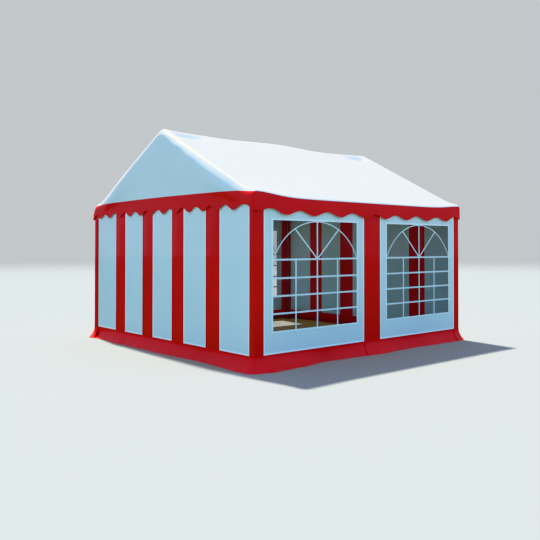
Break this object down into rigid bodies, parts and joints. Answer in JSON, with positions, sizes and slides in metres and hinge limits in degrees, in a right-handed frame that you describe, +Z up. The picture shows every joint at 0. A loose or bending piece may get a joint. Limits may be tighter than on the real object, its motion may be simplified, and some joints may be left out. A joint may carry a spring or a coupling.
{
  "type": "marquee tent",
  "caption": "Square frame tent with a ridge roof, scalloped valance, clear windows with arched bars in the long walls, and red and white striped gable walls.",
  "frame": {"origin": "on the ground, at the middle of the tent's footprint", "axes": "+X along the ridge, +Y from the front window wall to the back one, +Z up"},
  "size_m": [4.14, 4.14, 2.9989],
  "materials": {
    "red_pvc": "glossy coated",
    "white_pvc": "glossy coated",
    "clear_film": "clear gloss",
    "galvanised_steel": "dull galvanised"
  },
  "bodies": {
    "root": {"front_left_leg": "galvanised_steel", "front_middle_leg": "galvanised_steel", "front_right_leg": "galvanised_steel", "back_left_leg": "galvanised_steel", "back_middle_leg": "galvanised_steel", "back_right_leg": "galvanised_steel", "front_left_rafter": "galvanised_steel", "front_middle_rafter": "galvanised_steel", "front_right_rafter": "galvanised_steel", "back_left_rafter": "galvanised_steel", "back_middle_rafter": "galvanised_steel", "back_right_rafter": "galvanised_steel", "left_ridge_fitting": "galvanised_steel", "middle_ridge_fitting": "galvanised_steel", "right_ridge_fitting": "galvanised_steel", "left_ridge_tube": "galvanised_steel", "right_ridge_tube": "galvanised_steel", "front_left_eave_rail": "galvanised_steel", "front_right_eave_rail": "galvanised_steel", "back_left_eave_rail": "galvanised_steel", "back_right_eave_rail": "galvanised_steel", "left_gable_rail": "galvanised_steel", "right_gable_rail": "galvanised_steel", "front_roof_slope": "white_pvc", "back_roof_slope": "white_pvc", "left_gable_cloth": "white_pvc", "right_gable_cloth": "white_pvc", "front_valance": "red_pvc", "back_valance": "red_pvc", "left_valance": "red_pvc", "right_valance": "red_pvc", "front_wall_red": "red_pvc", "back_wall_red": "red_pvc", "left_wall_red": "red_pvc", "right_wall_red": "red_pvc", "left_wall_white": "white_pvc", "right_wall_white": "white_pvc", "front_left_window_panel": "white_pvc", "front_right_window_panel": "white_pvc", "back_left_window_panel": "white_pvc", "back_right_window_panel": "white_pvc", "front_left_window_film": "clear_film", "front_right_window_film": "clear_film", "back_left_window_film": "clear_film", "back_right_window_film": "clear_film"}
  },
  "joints": []
}
